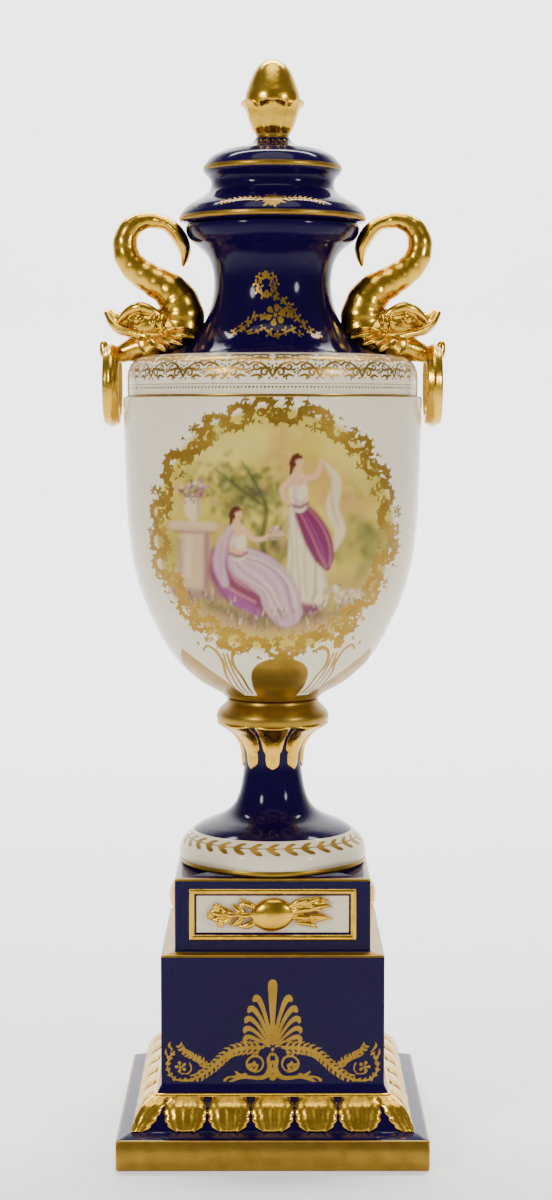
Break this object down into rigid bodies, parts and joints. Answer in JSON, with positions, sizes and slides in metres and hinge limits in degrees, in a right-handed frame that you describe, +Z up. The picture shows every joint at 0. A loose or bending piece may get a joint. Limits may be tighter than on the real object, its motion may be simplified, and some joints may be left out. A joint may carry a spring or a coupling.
{
  "type": "lidded porcelain urn on a plinth",
  "caption": "Lidded two-handled porcelain urn on a turned foot and a stepped square plinth, for display on a mantel, shelf or table.",
  "frame": {"origin": "centre of the plinth's underside", "axes": "+Z up along the urn's axis, the painted front faces -Y, and the handles are at -X and +X"},
  "size_m": [0.1938, 0.1686, 0.6],
  "materials": {
    "cobalt_glaze": "deep cobalt underglaze with a glossy clear glaze and painted gilding",
    "ivory_glaze": "warm white glossy glaze with painted decoration and gilding",
    "gilding": "burnished gold fired on the glazed porcelain"
  },
  "bodies": {
    "root": {"plinth": "cobalt_glaze", "foot": "cobalt_glaze", "vase": "ivory_glaze", "lid": "cobalt_glaze"}
  },
  "joints": []
}
